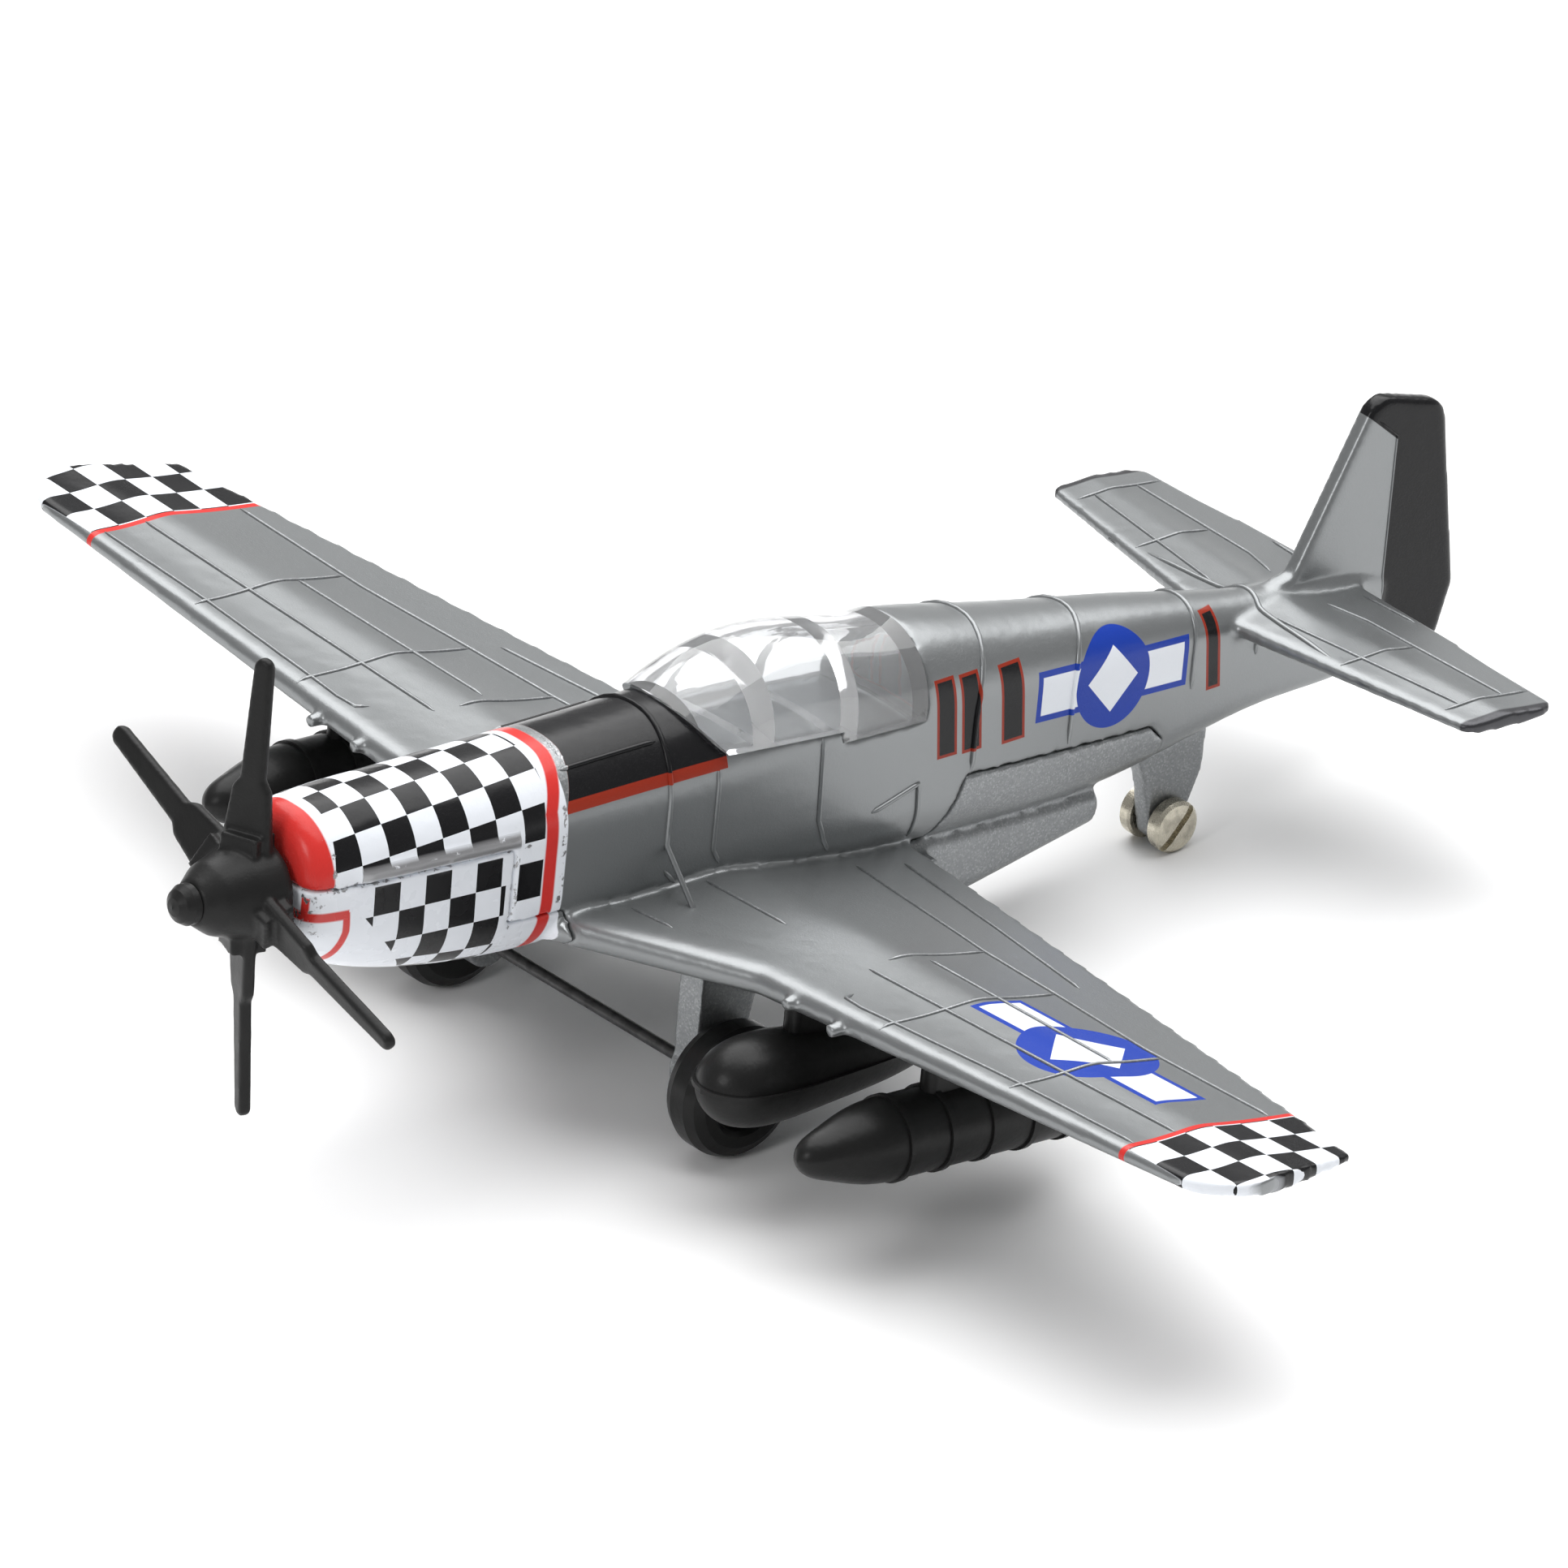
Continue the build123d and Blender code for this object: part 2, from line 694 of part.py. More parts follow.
def ribbed_tank():
    """Left outer store: a ribbed cylinder with a pointed nose and a rounded tail."""
    radius = ribbed_tank_radius
    nose = 6.5
    tail_start = ribbed_tank_length - 2.5
    centre = (ribbed_tank_x, ribbed_tank_nose, ribbed_tank_z)
    with BuildPart() as store:
        with BuildSketch(Plane(origin=centre, x_dir=(0, 1, 0), z_dir=(-1, 0, 0))):
            with BuildLine():
                Spline((0, 0), (0.3 * nose, 0.62 * radius), (nose, radius), tangents=[(0.2, 1), (1, 0)])
                Line((nose, radius), (tail_start, radius))
                Spline((tail_start, radius), (ribbed_tank_length, 0), tangents=[(1, 0), (0, -1)])
                Line((ribbed_tank_length, 0), (0, 0))
            make_face()
        revolve(axis=Axis(centre, (0, 1, 0)))
        for number in range(rib_count):
            with BuildSketch(station(ribbed_tank_nose + nose + rib_pitch * number)):
                with Locations((ribbed_tank_x, ribbed_tank_z)):
                    Circle(radius + rib_height)
            extrude(amount=-rib_width)
        add(pylon(ribbed_tank_x, 33.5, 41.0, ribbed_tank_z + 1.9, 1.3))
    return store.part


left_lower = drop_tank_lower_half()
with BuildPart() as drop_tank_lower_left:
    add(left_lower)
with BuildPart() as drop_tank_lower_right:
    add(mirror(left_lower, about=Plane.YZ))

left_upper = drop_tank_upper_half()
with BuildPart() as drop_tank_upper_left:
    add(left_upper)
with BuildPart() as drop_tank_upper_right:
    add(mirror(left_upper, about=Plane.YZ))

left_ribbed = ribbed_tank()
with BuildPart() as ribbed_tank_left:
    add(left_ribbed)
with BuildPart() as ribbed_tank_right:
    add(mirror(left_ribbed, about=Plane.YZ))


# ---- Screws ------------------------------------------------------------------------
def screw(y, seat):
    """Pan-head screw driven upwards, with a slot in its head."""
    with BuildPart() as fastener:
        with BuildSketch(Plane.XY.offset(seat - screw_head_height)):
            with Locations((0, y)):
                Circle(screw_head_radius)
        extrude(amount=screw_head_height)
        with BuildSketch(Plane.XY.offset(seat)):
            with Locations((0, y)):
                Circle(screw_radius)
        extrude(amount=screw_top - 0.2 - seat)
        with BuildSketch(Plane.XY.offset(seat - screw_head_height)):
            with Locations((0, y)):
                Rectangle(3, 0.35)
        extrude(amount=0.35, mode=Mode.SUBTRACT)
    return fastener.part


with BuildPart() as belly_screws:
    for y, seat in zip(screw_places, screw_seats):
        add(screw(y, seat))


# ---- Resting attitude and output ---------------------------------------------------
pieces = {
    "upper_casting": upper_casting,
    "chin_cowl": chin_cowl,
    "belly_casting": belly_casting,
    "canopy": canopy,
    "propeller": propeller,
    "propeller_pin": propeller_pin,
    "gear_leg_left": gear_leg_left,
    "gear_leg_right": gear_leg_right,
    "main_axle": main_axle,
    "main_wheel_left": main_wheel_left,
    "main_wheel_right": main_wheel_right,
    "tail_wheel_left": tail_wheel_left,
    "tail_wheel_right": tail_wheel_right,
    "tail_pin": tail_pin,
    "drop_tank_upper_left": drop_tank_upper_left,
    "drop_tank_upper_right": drop_tank_upper_right,
    "drop_tank_lower_left": drop_tank_lower_left,
    "drop_tank_lower_right": drop_tank_lower_right,
    "ribbed_tank_left": ribbed_tank_left,
    "ribbed_tank_right": ribbed_tank_right,
    "belly_screws": belly_screws,
}

# The floor touches both wheels, so the tip angle follows from their centres and radii.
wheel_base = tail_axle_y - main_axle_y
axle_step = tail_axle_z - main_axle_z
tip_angle = math.atan2(axle_step, wheel_base) + math.asin(
    (main_wheel_radius - tail_wheel_radius) / math.hypot(wheel_base, axle_step)
)
axle_height = -main_axle_y * math.sin(tip_angle) + main_axle_z * math.cos(tip_angle)
floor_height = axle_height - main_wheel_radius
rudder_y, rudder_z = max(fin_outline)
rear_end = rudder_y * math.cos(tip_angle) + rudder_z * math.sin(tip_angle)
front_end = pin_tip * math.cos(tip_angle) + thrust_line * math.sin(tip_angle)
middle = (front_end + rear_end) / 2
resting = Pos(0, -middle, -floor_height) * Rot(-math.degrees(tip_angle), 0, 0)

os.makedirs("parts", exist_ok=True)
for name, piece in pieces.items():
    piece.part = piece.part.moved(resting)
    piece.part.label = name
    export_step(piece.part, f"parts/{name}.step")
print("nose-up angle", math.degrees(tip_angle))
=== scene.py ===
import json
import math

import bmesh
import bpy
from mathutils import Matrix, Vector
from mathutils.bvhtree import BVHTree

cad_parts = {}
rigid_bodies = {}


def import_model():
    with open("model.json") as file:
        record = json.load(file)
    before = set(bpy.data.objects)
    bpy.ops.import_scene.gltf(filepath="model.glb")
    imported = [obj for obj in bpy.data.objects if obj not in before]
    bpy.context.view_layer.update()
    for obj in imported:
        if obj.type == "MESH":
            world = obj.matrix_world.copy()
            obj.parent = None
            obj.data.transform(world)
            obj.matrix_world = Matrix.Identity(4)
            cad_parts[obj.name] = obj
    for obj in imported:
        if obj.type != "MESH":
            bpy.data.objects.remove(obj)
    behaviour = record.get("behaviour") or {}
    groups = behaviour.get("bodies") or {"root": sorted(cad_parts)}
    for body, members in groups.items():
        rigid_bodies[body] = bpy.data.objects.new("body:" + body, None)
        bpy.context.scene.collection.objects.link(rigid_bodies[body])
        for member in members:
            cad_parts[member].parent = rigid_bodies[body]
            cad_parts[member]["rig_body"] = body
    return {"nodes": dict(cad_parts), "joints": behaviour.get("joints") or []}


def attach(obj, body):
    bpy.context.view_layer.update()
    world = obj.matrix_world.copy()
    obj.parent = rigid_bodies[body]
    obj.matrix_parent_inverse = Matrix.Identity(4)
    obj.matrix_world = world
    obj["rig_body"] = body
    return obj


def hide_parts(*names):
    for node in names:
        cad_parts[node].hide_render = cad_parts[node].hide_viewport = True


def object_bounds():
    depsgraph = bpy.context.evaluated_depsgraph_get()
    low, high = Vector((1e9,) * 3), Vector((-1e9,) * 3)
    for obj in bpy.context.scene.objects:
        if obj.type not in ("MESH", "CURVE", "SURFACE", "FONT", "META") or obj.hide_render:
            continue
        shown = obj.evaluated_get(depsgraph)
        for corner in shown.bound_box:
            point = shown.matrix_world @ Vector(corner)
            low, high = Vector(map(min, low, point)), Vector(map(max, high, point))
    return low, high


# A small die-cast toy fighter aeroplane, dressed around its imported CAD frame.
# Everything is in metres in the row frame.  The aeroplane stands nose-up, so shapes and
# markings are laid out in its level frame: millimetres, x to its left, y aft, z up from
# the thrust line, with the origin just above it inside the nose of the propeller.

MM = 0.001
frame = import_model()
cad_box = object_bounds()

# ---- The level frame, worked out from the propeller's joint -------------------------
BLADE_PLANE = 4.2               # distance of the blades behind the level frame's origin
THRUST_DROP = 0.25              # the thrust line lies this far below the level frame's origin
propeller_joint = next(j for j in frame["joints"] if j["name"] == "propeller_spin")
AFT = Vector(propeller_joint["axis"])
LEFT = Vector((1, 0, 0))
UP = LEFT.cross(AFT)
ORIGIN = Vector(propeller_joint["pos_m"]) - AFT * BLADE_PLANE * MM + UP * THRUST_DROP * MM


def level(x, y, z):
    """A point of the level frame, in the row frame."""
    return ORIGIN + (LEFT * x + AFT * y + UP * z) * MM


# ---- Dimensions shared by shapes and markings (level frame, millimetres) ------------
NOSE_SEAM = 0.6
CHIN_STEP = 20.7
LEDGE = (0.92, 1.45)            # height of the ledge over the nose seam
LEDGE_RUN = (9.5, 21.0)
BAND = (22.95, 23.85)           # red ring at the back of the cowl
BAND_BORDER = 0.7
CREST_LEAN = 1.1                # how far the ring leans aft at the top
COWL_RADIUS = 4.1
COWL_CORNER = 0.7
HINGE_Y = 90.1


# ---- Shader building ----------------------------------------------------------------
class Field:
    """A number that varies over a surface, held as a shader socket."""

    def __init__(self, tree, socket):
        self.tree = tree
        self.socket = socket

    def _math(self, operation, other=None, third=None):
        node = self.tree.nodes.new("ShaderNodeMath")
        node.operation = operation
        for index, value in enumerate((self, other, third)):
            if isinstance(value, Field):
                self.tree.links.new(value.socket, node.inputs[index])
            elif value is not None:
                node.inputs[index].default_value = value
        return Field(self.tree, node.outputs[0])

    def __add__(self, other):
        return self._math("ADD", other)

    def __sub__(self, other):
        return self._math("SUBTRACT", other)

    def __mul__(self, other):
        return self._math("MULTIPLY", other)

    def __truediv__(self, other):
        return self._math("DIVIDE", other)

    def __abs__(self):
        return self._math("ABSOLUTE")

    def __invert__(self):
        """One minus the field."""
        return self * -1.0 + 1.0

    def __and__(self, other):
        return self._math("MINIMUM", other)

    def __or__(self, other):
        return self._math("MAXIMUM", other)

    def floor(self):
        return self._math("FLOOR")

    def modulo(self, other):
        return self._math("FLOORED_MODULO", other)

    def angle_to(self, other):
        return self._math("ARCTAN2", other)

    def root(self):
        return self._math("SQRT")

    def above(self, limit, edge=0.04):
        """1 where the field is over the limit, with an edge this wide."""
        ramp = ((self - limit) / edge)._math("MULTIPLY_ADD", 1.0, 0.5)
        return ramp._math("MINIMUM", 1.0)._math("MAXIMUM", 0.0)

    def below(self, limit, edge=0.04):
        return ~self.above(limit, edge)

    def between(self, low, high, edge=0.04):
        return self.above(low, edge) & self.below(high, edge)


class Paint:
    """A Principled material with colour, metal and roughness built up in layers."""

    def __init__(self, name, colour, metallic=0.0, roughness=0.5):
        self.material = bpy.data.materials.new(name)
        self.material.use_nodes = True
        self.tree = self.material.node_tree
        self.nodes = self.tree.nodes
        self.shader = self.nodes["Principled BSDF"]
        self.shader.inputs["Base Color"].default_value = (*colour, 1)
        self.shader.inputs["Metallic"].default_value = metallic
        self.shader.inputs["Roughness"].default_value = roughness
        self.shader.inputs["Specular IOR Level"].default_value = 0.5
        self.layers = dict.fromkeys(
            ("Base Color", "Metallic", "Roughness", "Specular IOR Level"))
        self.normal = None
        coordinates = self.nodes.new("ShaderNodeTexCoord")
        self.place = coordinates.outputs["Object"]

    def link(self, source, target):
        self.tree.links.new(source, target)

    def along(self, direction):
        """Distance in millimetres along a direction of the level frame."""
        shift = self.nodes.new("ShaderNodeVectorMath")
        shift.operation = "SUBTRACT"
        self.link(self.place, shift.inputs[0])
        shift.inputs[1].default_value = ORIGIN
        dot = self.nodes.new("ShaderNodeVectorMath")
        dot.operation = "DOT_PRODUCT"
        self.link(shift.outputs[0], dot.inputs[0])
        dot.inputs[1].default_value = direction / MM
        return Field(self.tree, dot.outputs["Value"])

    def noise(self, size, detail=2.0, roughness=0.5, stretch=(1, 1, 1)):
        """Noise with features about this many millimetres across."""
        mapping = self.nodes.new("ShaderNodeMapping")
        self.link(self.place, mapping.inputs["Vector"])
        mapping.inputs["Scale"].default_value = [s / (size * MM) for s in stretch]
        texture = self.nodes.new("ShaderNodeTexNoise")
        self.link(mapping.outputs[0], texture.inputs["Vector"])
        texture.inputs["Scale"].default_value = 1.0
        texture.inputs["Detail"].default_value = detail
        texture.inputs["Roughness"].default_value = roughness
        return Field(self.tree, texture.outputs["Fac"])

    def cells(self, size):
        """A random value for each small cell about this many millimetres across."""
        mapping = self.nodes.new("ShaderNodeMapping")
        self.link(self.place, mapping.inputs["Vector"])
        mapping.inputs["Scale"].default_value = [1 / (size * MM)] * 3
        texture = self.nodes.new("ShaderNodeTexVoronoi")
        self.link(mapping.outputs[0], texture.inputs["Vector"])
        texture.inputs["Scale"].default_value = 1.0
        split = self.nodes.new("ShaderNodeSeparateColor")
        self.link(texture.outputs["Color"], split.inputs[0])
        return Field(self.tree, split.outputs[0])

    def layer(self, mask, colour=None, metallic=None, roughness=None, shine=None):
        """Lays a colour, metal or roughness over what is there, where the mask is 1."""
        wanted = {
            "Base Color": colour, "Metallic": metallic, "Roughness": roughness,
            "Specular IOR Level": shine,
        }
        for name, value in wanted.items():
            if value is None:
                continue
            target = self.shader.inputs[name]
            mix = self.nodes.new("ShaderNodeMix")
            mix.data_type = "RGBA" if name == "Base Color" else "FLOAT"
            low, high, out = (6, 7, 2) if name == "Base Color" else (2, 3, 0)
            if isinstance(mask, Field):
                self.link(mask.socket, mix.inputs[0])
            else:
                mix.inputs[0].default_value = mask
            if self.layers[name] is None:
                mix.inputs[low].default_value = target.default_value
            else:
                self.link(self.layers[name], mix.inputs[low])
            if isinstance(value, Field):
                self.link(value.socket, mix.inputs[high])
            else:
                mix.inputs[high].default_value = (*value, 1) if name == "Base Color" else value
            self.layers[name] = mix.outputs[out]
            self.link(mix.outputs[out], target)

    def bump(self, height, depth):
        """Adds relief: the height field times this many millimetres."""
        node = self.nodes.new("ShaderNodeBump")
        node.inputs["Strength"].default_value = 1.0
        node.inputs["Distance"].default_value = depth * MM
        self.link(height.socket, node.inputs["Height"])
        if self.normal is not None:
            self.link(self.normal, node.inputs["Normal"])
        self.normal = node.outputs[0]
        self.link(self.normal, self.shader.inputs["Normal"])

    def frame_fields(self):
        return self.along(LEFT), self.along(AFT), self.along(UP)


# ---- Colours ------------------------------------------------------------------------
SILVER = (0.255, 0.265, 0.27)
SILVER_DARK = (0.17, 0.178, 0.185)
SILVER_METAL = 0.72
INK_SHINE = 0.22                # specular level of the printed inks
PLASTIC_SHINE = 0.2             # and of the black plastics
WHITE = (0.80, 0.83, 0.88)
BLACK = (0.008, 0.008, 0.009)
RED = (0.62, 0.035, 0.03)
STRIPE_RED = (0.30, 0.028, 0.012)
BLUE = (0.010, 0.045, 0.36)
BARE_METAL = (0.36, 0.36, 0.37)

# plain bars on the fuselage side: centre along it, width, bottom and top
MARK_BARS = (
    (53.3, 1.2, -0.6, 4.5),
    (55.3, 1.2, -0.7, 4.4),
    (58.7, 1.5, -0.9, 4.2),
    (75.6, 0.8, -1.9, 3.1),
)


def metal_flake(paint):
    """Fine aluminium flakes in the lacquer, and slow cloudiness from spraying."""
    flakes = paint.cells(0.11)
    paint.layer(flakes.above(0.62, 0.5) * 0.45, SILVER_DARK)
    paint.layer(flakes.below(0.16, 0.2) * 0.4, (0.42, 0.43, 0.44))
    paint.layer(paint.noise(6.0, 3).above(0.55, 0.3) * 0.25, (0.27, 0.28, 0.29))
    paint.layer(1.0, roughness=paint.noise(2.5, 3) * 0.14 + 0.30)
    paint.bump(flakes, 0.004)
    paint.bump(paint.noise(1.4, 3), 0.02)


def squares(along, across):
    """1 on every other square of a chequer, given both measures in squares."""
    return (along.floor() + across.floor()).modulo(2.0)


def chips(paint, closeness, size=0.5):
    """Ragged bare patches, likelier where the closeness to an edge is near 1."""
    ragged = paint.noise(size, 4, 0.65) + paint.noise(size * 5, 2) * 0.35
    return (ragged + closeness * 0.30).above(1.06, 0.03)


def gloss_mark(paint, mask, colour):
    """A printed mark: gloss ink over the silver."""
    paint.layer(mask, colour, 0.0, 0.24, INK_SHINE)


def barred_disc(paint, where, u, v, radius, reach, half, border):
    """A plain disc with a white lozenge, between two white bars with a dark border."""
    distance = (u * u + v * v).root()
    bars = where & abs(u).below(reach) & abs(v).below(half)
    gloss_mark(paint, bars, BLUE)
    inner = where & abs(u).below(reach - border) & abs(v).below(half - border)
    gloss_mark(paint, inner, WHITE)
    gloss_mark(paint, where & distance.below(radius), BLUE)
    gloss_mark(paint, where & (abs(u) + abs(v)).below(radius * 0.68), WHITE)


def cowl_markings(paint, x, y, z, side):
    """White nose with chequers that follow its girth, and the red lip."""
    gloss_mark(paint, y.below(BAND[1] + BAND_BORDER), WHITE)
    drop = z * -1.0 + COWL_CORNER
    corner = (side - 0.35).angle_to(z - COWL_CORNER) * COWL_RADIUS + 0.35
    flank = drop + (COWL_RADIUS * math.pi / 2 + 0.35)
    upper = z.above(COWL_CORNER)
    girth = corner * upper + flank * (~upper)
    signed = girth * (x.above(0.0) * 2.0 - 1.0)
    row = (signed + (y - 15.5) * 0.075 + 0.75) / 1.97
    top_rows = z.above(LEDGE[1]) | y.above(LEDGE_RUN[1] + 0.1)
    run = (y - 9.55) / 1.965
    lean = (z * 0.14 - 0.1) * z.above(2.5, 3.0)
    edge = y - lean
    chequered = z.above(0.9) & edge.between(7.7, BAND[0] - 0.1) & top_rows
    gloss_mark(paint, squares(run, row) & chequered, BLACK)
    low_square = z.between(-2.75, -0.4) & y.between(21.1, BAND[0] - 0.1)
    gloss_mark(paint, low_square & side.above(3.0), BLACK)
    lip = (y + (z - 1.8) * 0.04).below(7.65, 0.12) & z.above(NOSE_SEAM - 0.1)
    gloss_mark(paint, lip, RED)


def cowl_ring(paint, y, z):
    """Red ring round the back of the cowl, leaning aft over the crest."""
    ring = y - z.above(3.6, 2.6) * CREST_LEAN
    gloss_mark(paint, ring.between(BAND[0], BAND[1], 0.12), RED)


def upper_paint():
    """Silver lacquer with the printed markings of the upper casting."""
    paint = Paint("silver_lacquer_marked", SILVER, SILVER_METAL, 0.34)
    metal_flake(paint)
    x, y, z = paint.frame_fields()
    side = abs(x)
    body = side.below(5.6)
    cowl_markings(paint, x, y, z, side)
    cowl_ring(paint, y, z)
    ring = y - z.above(3.6, 2.6) * CREST_LEAN
    paint.layer(ring.above(BAND[1] + BAND_BORDER, 0.1), SILVER, SILVER_METAL, 0.34)

    # black panel ahead of the windscreen with a red line under it
    over = z - (y - 24.2) * 0.037 - 2.0
    deck = ring.between(BAND[1] + BAND_BORDER, 36.5) & y.below(36.5) & body
    gloss_mark(paint, deck & over.above(0.0), STRIPE_RED)
    gloss_mark(paint, deck & over.above(0.68), BLACK)

    # fuselage side: slanted bars, the disc and its bars, and one bar behind
    for centre, width, low, high in MARK_BARS:
        away = abs(y + (z - 1.6) * 0.12 - centre)
        tall = z.between(low, high) & body
        gloss_mark(paint, away.below(width / 2 + 0.2) & tall, STRIPE_RED)
        gloss_mark(paint, away.below(width / 2) & z.between(low + 0.2, high - 0.2) & body, BLACK)
    fuselage = y.between(60.0, 74.0) & body
    barred_disc(paint, fuselage, y - 67.15, z - 1.0 + (y - 67.15) * 0.061, 3.1, 6.4, 1.62, 0.4)

    # left wing: the same emblem lying along the span, on the top only
    upper_side = z.above(-4.1, 0.1) & x.above(20.0)
    barred_disc(paint, upper_side, x - 36.1, y - 38.5, 4.2, 8.4, 1.95, 0.38)

    # wing tips: chequers outside a red line
    tip = side.above(48.35) & side.below(56.0, 0.2) & y.between(31.3, 43.9)
    gloss_mark(paint, tip, WHITE)
    gloss_mark(paint, tip & squares((side - 48.5) / 2.35, (y - 31.3) / 2.1), BLACK)
    gloss_mark(paint, side.between(47.95, 48.4), RED)

    # top of the fin and the whole rudder in black
    cap = (z + (y - HINGE_Y) * 0.78).above(10.7, 0.05) & y.above(80.0)
    gloss_mark(paint, side.below(1.2) & (y.above(HINGE_Y) | cap) & z.above(-3.6), BLACK)

    # dark edging at the tips of the tailplane
    paint.layer(y.above(76.0) & side.between(18.7, 30.0, 0.15), (0.06, 0.06, 0.065))

    # worn edges: the ledge, the seam, the step, the lip and the ring
    ledge = z.between(LEDGE[0] - 0.1, LEDGE[1] + 0.15, 0.3)
    ledge = ledge & y.between(*LEDGE_RUN) & side.above(3.0)
    scraped = ledge & (paint.noise(0.9, 4, 0.7).above(0.36, 0.1) | z.below(LEDGE[1] - 0.1))
    paint.layer(scraped, BARE_METAL, 0.75, 0.40)
    seam = abs(z - NOSE_SEAM - 0.1).below(0.3, 0.6) & y.below(CHIN_STEP + 2)
    step = abs(y - CHIN_STEP - 0.3).below(0.3, 0.4) & z.below(NOSE_SEAM)
    lip = abs(y - 7.7).below(0.3, 0.5) & z.between(-0.5, 4.6, 1.0)
    border = abs(ring - BAND[1] - 0.5).below(0.3, 0.3) & body
    edges = seam | step | lip | border
    worn = chips(paint, edges) & edges.above(0.05) & y.below(26.0)
    paint.layer(worn, BARE_METAL, 0.85, 0.42)
    paint.bump(worn | scraped, -0.03)
    return paint.material


def chin_paint():
    """White enamel of the chin with its own smaller chequers and red lines."""
    paint = Paint("white_enamel_chequered", WHITE, 0.0, 0.26)
    x, y, z = paint.frame_fields()
    side = abs(x)
    under = (z + 5.2).below(0.0, 0.01) * ((side * -1.0 + 3.9) * 0.9)
    row = (z * -1.0 + 0.4 + under) / 1.92
    run = (y - 10.5 + z * 0.03) / 1.86
    panel = y.between(8.75, 20.2) & z.between(-7.6, 0.35)
    corner = (y + z * 0.9).above(8.6)
    paint.layer(panel & corner & (~squares(run, row)) & side.above(2.0), BLACK)
    outline = abs(y - 8.75 + abs(z + 2.2) * 0.10).below(0.24, 0.08) & z.between(-6.2, -0.9)
    band = z.between(-1.35, -0.75, 0.12) & y.below(8.8)
    front = abs(z + 0.35).below(0.5, 0.1) & abs(side - 3.3).below(0.25, 0.1) & y.below(7.2)
    paint.layer(outline | band | front, RED)
    paint.layer(y.between(*BAND, 0.12), RED)
    paint.layer(y.above(BAND[1] + BAND_BORDER), SILVER, SILVER_METAL, 0.34)
    paint.layer(1.0, roughness=paint.noise(1.8, 3) * 0.15 + 0.2)
    edge = abs(z - NOSE_SEAM).below(0.25, 0.4) | y.below(7.6, 1.6)
    edge = edge | abs(y - CHIN_STEP).below(0.25, 0.3)
    worn = chips(paint, edge) & edge.above(0.05)
    paint.layer(worn, BARE_METAL, 0.85, 0.42)
    paint.bump(worn, -0.03)
    paint.bump(paint.noise(1.1, 3), 0.02)
    return paint.material


def plain_silver():
    """Silver lacquer with no markings."""
    paint = Paint("silver_lacquer", SILVER, SILVER_METAL, 0.34)
    metal_flake(paint)
    return paint.material


def black_plastic(name, colour, roughness, grain):
    """Moulded black plastic with a faint grain and lighter patches scattered by noise as a
    painted highlight.
    """
    paint = Paint(name, colour, 0.0, roughness)
    paint.shader.inputs["Specular IOR Level"].default_value = PLASTIC_SHINE
    paint.layer(1.0, roughness=paint.noise(1.5, 4) * 0.22 + (roughness - 0.11))
    # painted highlight: lighter patches of the black, scattered by noise, stand in for sheen on
    # the plastic
    paint.layer(paint.noise(2.2, 3).above(0.60, 0.2) * 0.35, [c * 1.8 for c in colour])
    paint.bump(paint.noise(grain, 3), 0.012)
    return paint.material


def clear_plastic():
    """Clear moulded styrene, slightly uneven."""
    paint = Paint("clear_styrene", (0.97, 0.98, 0.99), 0.0, 0.03)
    paint.shader.inputs["Transmission Weight"].default_value = 0.90
    paint.shader.inputs["IOR"].default_value = 1.42
    paint.layer(1.0, roughness=paint.noise(4.0, 2).above(0.6, 0.4) * 0.05 + 0.02)
    paint.bump(paint.noise(3.5, 2), 0.02)
    return paint.material


def plated_metal(name, colour, roughness, scratch):
    """Plated or drawn metal with fine scratches across it."""
    paint = Paint(name, colour, 1.0, roughness)
    scratches = paint.noise(scratch, 4, 0.7, stretch=(1.0, 6.0, 0.8))
    paint.layer(1.0, roughness=scratches * 0.3 + (roughness - 0.12))
    paint.layer(paint.noise(0.9, 3).above(0.56, 0.15) * 0.5, [c * 0.45 for c in colour])
    paint.bump(scratches, 0.012)
    return paint.material


MATERIALS = {
    "upper": upper_paint(),
    "chin": chin_paint(),
    "silver": plain_silver(),
    "propeller": black_plastic("black_nylon", (0.012, 0.012, 0.012), 0.42, 0.18),
    "wheel": black_plastic("black_wheel", (0.009, 0.009, 0.009), 0.33, 0.30),
    "store": black_plastic("black_styrene", (0.010, 0.010, 0.010), 0.36, 0.25),
    "clear": clear_plastic(),
    "wire": plated_metal("drawn_wire", (0.10, 0.10, 0.10), 0.45, 0.5),
    "nickel": plated_metal("nickel_plate", (0.62, 0.58, 0.48), 0.24, 0.25),
    "screw": plated_metal("zinc_plate", (0.55, 0.55, 0.54), 0.32, 0.25),
}


# ---- Pieces -------------------------------------------------------------------------
def dress(thing, material):
    """Puts one material on a piece."""
    thing.data.materials.clear()
    thing.data.materials.append(material)


def smooth(thing):
    thing.data.polygons.foreach_set("use_smooth", [True] * len(thing.data.polygons))


def add_object(name, data):
    thing = bpy.data.objects.new(name, data)
    bpy.context.scene.collection.objects.link(thing)
    return thing


def softened(node, name, material, voxel, rounds):
    """A copy of a CAD node, its corners rounded as casting and paint leave them."""
    source = frame["nodes"][node]
    thing = add_object(name, source.data.copy())
    remesh = thing.modifiers.new("remesh", "REMESH")
    remesh.mode = "VOXEL"
    remesh.voxel_size = voxel * MM
    relax = thing.modifiers.new("relax", "SMOOTH")
    relax.factor = 0.5
    relax.iterations = rounds
    bpy.context.view_layer.update()
    evaluated = thing.evaluated_get(bpy.context.evaluated_depsgraph_get())
    result = bpy.data.meshes.new_from_object(evaluated)
    thing.modifiers.clear()
    thing.data = result
    smooth(thing)
    dress(thing, material)
    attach(thing, source["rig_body"])
    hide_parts(node)
    return thing


